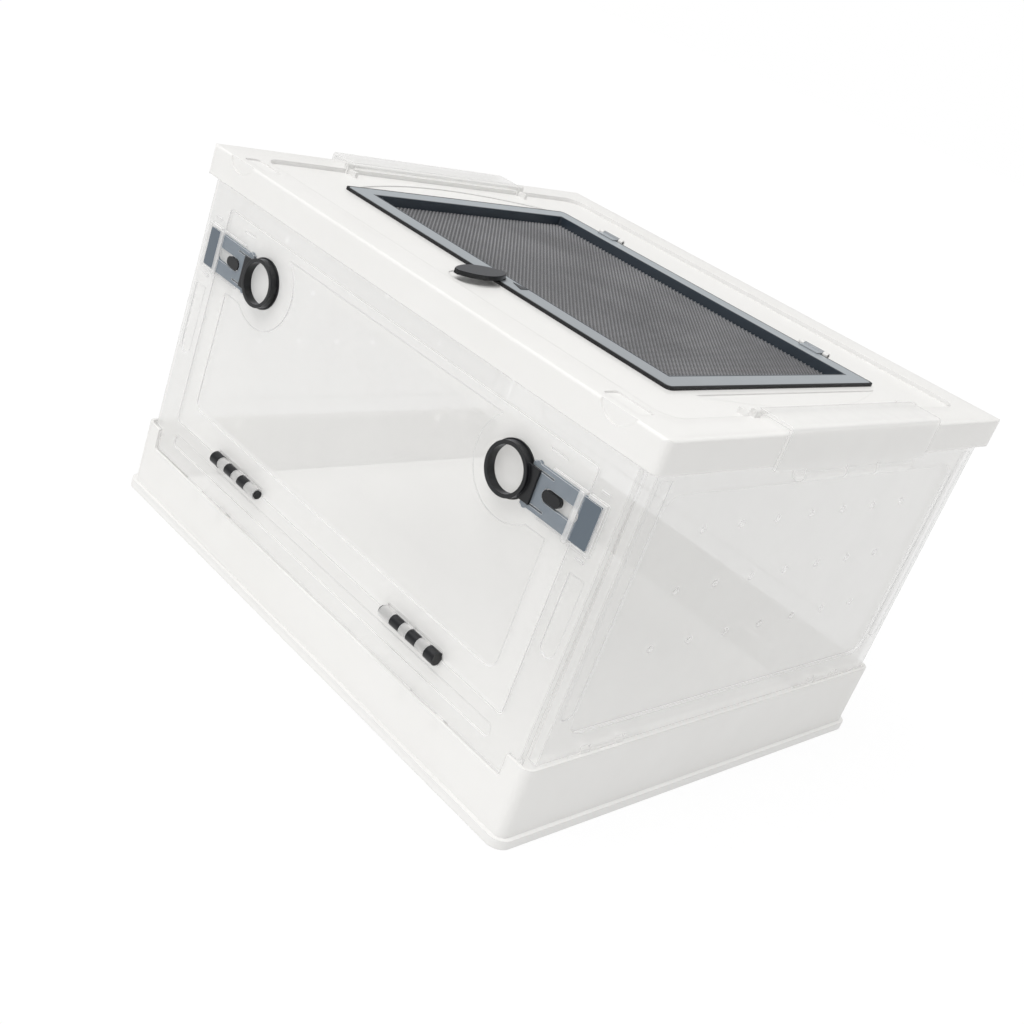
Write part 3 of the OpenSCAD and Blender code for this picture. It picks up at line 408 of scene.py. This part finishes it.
def thread_tubes(paths, half_w, half_h, across):
    """Diamond-section tubes along many paths of the same number of points. across is the axis of their
    width, 0 for x or 1 for y."""
    count, length = paths.shape[:2]
    ring = np.zeros((4, 3))
    ring[0, across], ring[1, 2], ring[2, across], ring[3, 2] = half_w, half_h, -half_w, -half_h
    corners = (paths[:, :, None, :] + ring[None, None]).reshape(-1, 3)
    first = np.arange(count)[:, None, None] * length * 4 + np.arange(length - 1)[None, :, None] * 4
    side = np.arange(4)[None, None, :]
    turn = (side + 1) % 4
    quads = np.stack([first + side, first + turn, first + 4 + turn, first + 4 + side], axis=-1)
    if across == 0:
        quads = quads[..., ::-1]
    return corners, quads.reshape(-1, 4)


def woven_screen(name, low, high, sizes, material):
    """A plain weave between two corners. The warp runs to the back and bends fully over and under a weft
    that bends less and lies lower, so that the warp shows as stripes."""
    warp_x = np.arange(low.x + sizes.warp_pitch / 2, high.x, sizes.warp_pitch)
    weft_y = np.arange(low.y + sizes.weft_pitch / 2, high.y, sizes.weft_pitch)
    middle = (low.z + high.z) / 2
    rise = sizes.thread_w * 0.35
    half_h = sizes.thread_w * 0.4
    over = 1 - 2 * ((np.arange(len(warp_x))[:, None] + np.arange(len(weft_y))[None, :]) % 2)
    warp = np.zeros((len(warp_x), len(weft_y), 3))
    warp[..., 0] = warp_x[:, None]
    warp[..., 1] = weft_y[None, :]
    warp[..., 2] = middle + rise * over
    weft = warp.transpose(1, 0, 2).copy()
    weft[..., 2] = middle - rise * (0.6 + 0.4 * over.T)
    warp[:, 0, 1], warp[:, -1, 1] = low.y, high.y
    weft[:, 0, 0], weft[:, -1, 0] = low.x, high.x
    warp_corners, warp_faces = thread_tubes(warp, sizes.warp_w / 2, half_h, 0)
    weft_corners, weft_faces = thread_tubes(weft, sizes.thread_w / 2, half_h, 1)
    corners = np.vstack([warp_corners, weft_corners]).tolist()
    faces = np.vstack([warp_faces, weft_faces + len(warp_corners)]).tolist()
    return new_piece(name, corners, faces, material)


# ---------- settings ----------


def length_property(name, description, millimetres):
    """A length setting whose default is in millimetres."""
    return bpy.props.FloatProperty(
        name=name, description=description, default=millimetres * MM, subtype="DISTANCE", unit="LENGTH"
    )


def colour_property(name, description, hex_colour):
    """A colour setting whose default is an sRGB hex colour."""
    return bpy.props.FloatVectorProperty(
        name=name, description=description, subtype="COLOR", size=4, min=0, max=1, default=linear(hex_colour)
    )


class KeeperSizes(bpy.types.PropertyGroup):
    """Sizes of the screen's threads. They are drawn coarser than real ones, so that they show."""

    warp_pitch: length_property("Warp spacing", "Spacing of the threads that run to the back", 1.75)
    weft_pitch: length_property("Weft spacing", "Spacing of the threads that run from side to side", 1.75)
    warp_w: length_property("Warp thread", "Width of a warp thread", 1.0)
    thread_w: length_property("Weft thread", "Width of a weft thread", 0.7)


class KeeperColours(bpy.types.PropertyGroup):
    """Colours of the finishes, and of the highlights, sheen and shade painted on them."""

    clear_low: colour_property("Clear, thin", "Clear walls where the melt is thinnest", "#F4F3F1")
    clear_high: colour_property("Clear, full", "Clear walls where the melt is fullest", "#FBFAF8")
    # Painted highlight on rounded edges
    edge_painted_highlight: colour_property("Edge light", "Rounded edges of clear and smoke pieces", "#FFFFFF")
    milky_low: colour_property("Milky, thin", "Base and lid where the melt is thinnest", "#F5F4F1")
    milky_high: colour_property("Milky, full", "Base and lid where the melt is fullest", "#FAF9F7")
    smoke_low: colour_property("Smoke, deep", "Latch plates, deeper", "#7C8791")
    smoke_high: colour_property("Smoke, pale", "Latch plates, paler", "#8D97A1")
    # Painted shade on the bolt
    bolt: colour_property("Bolt", "Latch plates, at the bolt", "#58646F")
    flange_low: colour_property("Flange, deep", "Flange of the screen's frame, deeper", "#93979B")
    flange_high: colour_property("Flange, pale", "Flange of the screen's frame, paler", "#9FA3A7")
    # Painted sheen on the flange at a slant
    flange_painted_sheen: colour_property("Flange, at a slant", "Flange where it is seen at a slant", "#BCC6CC")
    # Painted shade in the recess
    recess_painted_shade: colour_property("Recess", "Walls between the flange and the screen", "#353E47")
    black_low: colour_property("Black, deep", "Rings, pins, turn latch and gasket, deeper", "#0E0F11")
    black_high: colour_property("Black, pale", "Rings, pins, turn latch and gasket, paler", "#1C1D20")
    # Painted sheen on black plastic at a slant
    black_painted_sheen: colour_property("Black, at a slant", "Black plastic where it is seen at a slant", "#55565A")
    # Painted shade low in the weave and painted highlight on the thread tops
    thread_painted_shade: colour_property("Thread, deep", "Screen thread, low in the weave", "#2C2D30")
    thread_painted_highlight: colour_property("Thread, pale", "Screen thread, on top of the weave", "#C6C6C9")
    floor: colour_property("Floor", "Studio floor", "#F7F7F7")


# ---------- operators ----------


class KeeperOperator:
    """Shared settings of the operators."""

    bl_options = {"REGISTER"}


class KEEPER_OT_clear_walls(KeeperOperator, bpy.types.Operator):
    """Finish the clear folding walls, the front frame, the door and the buckles"""

    bl_idname = "keeper.clear_walls"
    bl_label = "Clear walls"

    def execute(self, context):
        material = clear_polypropylene(context.scene.keeper_colours)
        finish_nodes(["left_wall", "right_wall", "back_wall", "front_frame", "front_door"], material)
        finish_nodes(["left_buckle", "right_buckle"], material)
        return {"FINISHED"}


class KEEPER_OT_milky_shells(KeeperOperator, bpy.types.Operator):
    """Finish the milky base tray, the lid and their pins"""

    bl_idname = "keeper.milky_shells"
    bl_label = "Milky shells"

    def execute(self, context):
        material = milky_polypropylene(context.scene.keeper_colours)
        finish_nodes(["base_tray", "lid", "wall_hinge_pins", "buckle_pins"], material)
        return {"FINISHED"}


class KEEPER_OT_latch_plates(KeeperOperator, bpy.types.Operator):
    """Finish the smoke grey plates of the slide latches"""

    bl_idname = "keeper.latch_plates"
    bl_label = "Latch plates"

    def execute(self, context):
        bolt_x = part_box("right_latch_plate")[1].x - BOLT_LENGTH
        material = smoke_polycarbonate(context.scene.keeper_colours, bolt_x)
        finish_nodes(["left_latch_plate", "right_latch_plate"], material)
        return {"FINISHED"}


class KEEPER_OT_black_fittings(KeeperOperator, bpy.types.Operator):
    """Finish the black finger rings, guide posts, hinge pins and spacers, turn latch and lock mark"""

    bl_idname = "keeper.black_fittings"
    bl_label = "Black fittings"

    def execute(self, context):
        material = black_abs(context.scene.keeper_colours)
        finish_nodes(["left_latch_ring", "right_latch_ring", "latch_guide_posts"], material)
        finish_nodes(["door_hinge_pins", "door_hinge_spacers", "mesh_hinge_pins"], material)
        finish_nodes(["turn_latch", "lock_mark"], material)
        return {"FINISHED"}


class KEEPER_OT_screen(KeeperOperator, bpy.types.Operator):
    """Finish the screen's frame and gasket, and weave the screen in place of its coarse grid"""

    bl_idname = "keeper.screen"
    bl_label = "Woven screen"

    def execute(self, context):
        colours = context.scene.keeper_colours
        low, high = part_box("mesh_screen")
        weld = Vector((WELD_WIDTH, WELD_WIDTH, 0))
        flange = smoke_flange(colours, high.z + SCREEN_DEPTH, low - weld, high + weld)
        finish_nodes(["mesh_frame"], flange)
        finish_nodes(["mesh_seal"], black_rubber(colours))
        thread = woven_nylon(colours, (low.z + high.z) / 2)
        screen = woven_screen("woven_screen", low, high, context.scene.keeper_sizes, thread)
        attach(screen, "mesh_window")
        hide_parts("mesh_screen")
        return {"FINISHED"}


class KEEPER_OT_stage(KeeperOperator, bpy.types.Operator):
    """Set up the floor, the lights, the world and the camera"""

    bl_idname = "keeper.stage"
    bl_label = "Stage"

    def execute(self, context):
        scene = context.scene
        square = ((-1, -1), (1, -1), (1, 1), (-1, 1))
        corners = [(x * FLOOR_HALF, y * FLOOR_HALF, 0) for x, y in square]
        floor = new_piece("floor", corners, [(0, 1, 2, 3)], studio_paper(scene.keeper_colours.floor))
        key_light(scene)
        white_surround(scene)
        camera(scene)
        scene.view_settings.view_transform = "Standard"
        scene.cycles.transparent_max_bounces = 32
        return {"FINISHED"}


def key_light(scene):
    """A far soft light that comes from one side, the same all over the floor."""
    lamp = bpy.data.lights.new("key_light", "SUN")
    lamp.angle = math.radians(KEY_SPREAD)
    lamp.energy = KEY_POWER
    holder = bpy.data.objects.new("key_light", lamp)
    scene.collection.objects.link(holder)
    holder.rotation_mode = "QUATERNION"
    holder.rotation_quaternion = Vector(KEY_FROM).to_track_quat("Z", "Y")


def white_surround(scene):
    """A white surround: full white where it is seen, and dimmer as a light."""
    world = bpy.data.worlds.new("white_surround")
    scene.world = world
    world.use_nodes = True
    tree = world.node_tree
    tree.nodes.clear()
    path = add(tree, "ShaderNodeLightPath").outputs
    seen = add(tree, "ShaderNodeMath", {0: path["Is Camera Ray"], 1: path["Is Transmission Ray"]})
    brightness = {"Value": seen.outputs[0], "To Min": SURROUND_LIGHT, "To Max": 1.0}
    strength = add(tree, "ShaderNodeMapRange", brightness)
    white = add(tree, "ShaderNodeBackground", {"Color": (1, 1, 1, 1), "Strength": strength.outputs[0]})
    add(tree, "ShaderNodeOutputWorld", {"Surface": white.outputs[0]})


def camera(scene):
    """The camera, aimed down at the box and rolled."""
    lens = bpy.data.cameras.new("camera")
    lens.lens = CAMERA_LENS
    lens.sensor_width = CAMERA_SENSOR
    lens.shift_x, lens.shift_y = CAMERA_SHIFT
    lens.clip_start, lens.clip_end = 0.05, 50.0
    holder = bpy.data.objects.new("camera", lens)
    scene.collection.objects.link(holder)
    holder.location = CAMERA_PLACE
    aim = Vector(CAMERA_AIM) - Vector(CAMERA_PLACE)
    holder.rotation_mode = "QUATERNION"
    roll = Quaternion((0, 0, 1), math.radians(CAMERA_ROLL))
    holder.rotation_quaternion = aim.to_track_quat("-Z", "Y") @ roll
    scene.camera = holder


OPERATORS = (
    KEEPER_OT_clear_walls,
    KEEPER_OT_milky_shells,
    KEEPER_OT_latch_plates,
    KEEPER_OT_black_fittings,
    KEEPER_OT_screen,
    KEEPER_OT_stage,
)


class KEEPER_PT_panel(bpy.types.Panel):
    """Lists the box's pieces and the stage"""

    bl_idname = "KEEPER_PT_panel"
    bl_label = "Keeper box"
    bl_space_type = "VIEW_3D"
    bl_region_type = "UI"
    bl_category = "Keeper box"

    def draw(self, context):
        for operator in OPERATORS:
            self.layout.operator(operator.bl_idname)
        for settings in (context.scene.keeper_sizes, context.scene.keeper_colours):
            for key in settings.__annotations__:
                self.layout.prop(settings, key)


CLASSES = (KeeperSizes, KeeperColours, *OPERATORS, KEEPER_PT_panel)


def register():
    for cls in CLASSES:
        bpy.utils.register_class(cls)
    bpy.types.Scene.keeper_sizes = bpy.props.PointerProperty(type=KeeperSizes)
    bpy.types.Scene.keeper_colours = bpy.props.PointerProperty(type=KeeperColours)


def unregister():
    del bpy.types.Scene.keeper_colours
    del bpy.types.Scene.keeper_sizes
    for cls in reversed(CLASSES):
        bpy.utils.unregister_class(cls)


def main():
    register()
    for operator in OPERATORS:
        group, action = operator.bl_idname.split(".")
        getattr(getattr(bpy.ops, group), action)()


if __name__ == "__main__":
    main()
